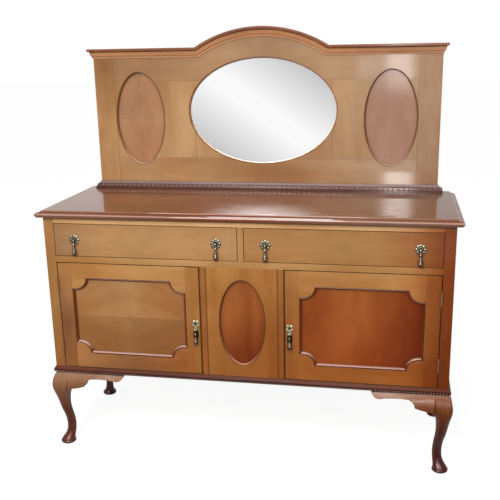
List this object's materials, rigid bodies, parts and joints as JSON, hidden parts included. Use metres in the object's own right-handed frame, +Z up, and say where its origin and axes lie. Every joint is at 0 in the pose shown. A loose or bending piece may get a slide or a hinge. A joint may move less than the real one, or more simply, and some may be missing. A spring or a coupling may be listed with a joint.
{
  "type": "mirror-back sideboard",
  "caption": "Free-standing wooden sideboard with drawers over panelled cupboard doors on cabriole legs, under an arched back with oval panels and an oval mirror.",
  "frame": {"origin": "centre of the outline at floor level", "axes": "+X to the viewer's right, +Y from the front to the back, +Z up"},
  "size_m": [1.524, 0.53, 1.583],
  "materials": {
    "walnut_level": "french polish",
    "walnut_upright": "french polish",
    "figured_veneer": "french polish",
    "lining": "bare, aged",
    "mirror": "silvered glass",
    "antique_brass": "antique, lacquered",
    "lock_steel": "dull"
  },
  "bodies": {
    "carcass": {"arched_cornice": "walnut_level", "back_board": "lining", "base_moulding": "walnut_level", "bead_moulding": "walnut_level", "bottom_board": "lining", "centre_oval": "figured_veneer", "centre_panel": "figured_veneer", "closing_stops": "lining", "drawer_runners": "lining", "dust_board": "lining", "end_boards": "walnut_upright", "front_dividers": "walnut_upright", "front_legs": "walnut_upright", "front_posts": "walnut_upright", "front_rails": "walnut_level", "knee_brackets": "walnut_level", "left_side_oval": "figured_veneer", "mirror_backing": "lining", "mirror_bottom_rail_board": "walnut_level", "mirror_dowels": "lining", "mirror_glass": "mirror", "mirror_muntins": "walnut_upright", "mirror_stiles": "walnut_upright", "mirror_top_rail_board": "walnut_level", "oval_beads": "walnut_upright", "partitions": "lining", "post_hinges": "antique_brass", "rear_legs": "walnut_upright", "right_side_oval": "figured_veneer", "shelves": "lining", "straight_cornices": "walnut_level", "top_board": "walnut_level"},
    "left_drawer": {"left_drawer_bottom": "lining", "left_drawer_front": "figured_veneer", "left_drawer_rosettes": "antique_brass", "left_drawer_sides": "lining"},
    "left_drawer_inner_drop": {"left_drawer_inner_drop": "antique_brass"},
    "left_drawer_outer_drop": {"left_drawer_outer_drop": "antique_brass"},
    "left_door": {"left_door_bead": "walnut_upright", "left_door_escutcheon": "antique_brass", "left_door_hinges": "antique_brass", "left_door_lock": "lock_steel", "left_door_panel": "figured_veneer", "left_door_rails": "walnut_level", "left_door_stiles": "walnut_upright"},
    "left_door_drop": {"left_door_drop": "antique_brass"},
    "right_drawer": {"right_drawer_bottom": "lining", "right_drawer_front": "figured_veneer", "right_drawer_rosettes": "antique_brass", "right_drawer_sides": "lining"},
    "right_drawer_inner_drop": {"right_drawer_inner_drop": "antique_brass"},
    "right_drawer_outer_drop": {"right_drawer_outer_drop": "antique_brass"},
    "right_door": {"right_door_bead": "walnut_upright", "right_door_escutcheon": "antique_brass", "right_door_hinges": "antique_brass", "right_door_lock": "lock_steel", "right_door_panel": "figured_veneer", "right_door_rails": "walnut_level", "right_door_stiles": "walnut_upright"},
    "right_door_drop": {"right_door_drop": "antique_brass"}
  },
  "joints": [
    {"name": "left_drawer_slide", "type": "slide", "parent": "carcass", "child": "left_drawer", "axis": [0, -1, 0], "range_m": [0, 0.33]},
    {"name": "left_door_swing", "type": "hinge", "parent": "carcass", "child": "left_door", "pos_m": [-0.6988, -0.2455, 0.54], "axis": [0, 0, -1], "range_deg": [0, 100]},
    {"name": "left_drawer_inner_drop_swing", "type": "hinge", "parent": "left_drawer", "child": "left_drawer_inner_drop", "pos_m": [-0.089, -0.252, 0.836], "axis": [-1, 0, 0], "range_deg": [0, 85]},
    {"name": "left_drawer_outer_drop_swing", "type": "hinge", "parent": "left_drawer", "child": "left_drawer_outer_drop", "pos_m": [-0.622, -0.252, 0.836], "axis": [-1, 0, 0], "range_deg": [0, 85]},
    {"name": "left_door_drop_swing", "type": "hinge", "parent": "left_door", "child": "left_door_drop", "pos_m": [-0.174, -0.252, 0.51], "axis": [-1, 0, 0], "range_deg": [0, 85]},
    {"name": "right_drawer_slide", "type": "slide", "parent": "carcass", "child": "right_drawer", "axis": [0, -1, 0], "range_m": [0, 0.33]},
    {"name": "right_door_swing", "type": "hinge", "parent": "carcass", "child": "right_door", "pos_m": [0.6988, -0.2455, 0.54], "axis": [0, 0, 1], "range_deg": [0, 100]},
    {"name": "right_drawer_inner_drop_swing", "type": "hinge", "parent": "right_drawer", "child": "right_drawer_inner_drop", "pos_m": [0.089, -0.252, 0.836], "axis": [-1, 0, 0], "range_deg": [0, 85]},
    {"name": "right_drawer_outer_drop_swing", "type": "hinge", "parent": "right_drawer", "child": "right_drawer_outer_drop", "pos_m": [0.622, -0.252, 0.836], "axis": [-1, 0, 0], "range_deg": [0, 85]},
    {"name": "right_door_drop_swing", "type": "hinge", "parent": "right_door", "child": "right_door_drop", "pos_m": [0.174, -0.252, 0.51], "axis": [-1, 0, 0], "range_deg": [0, 85]}
  ]
}
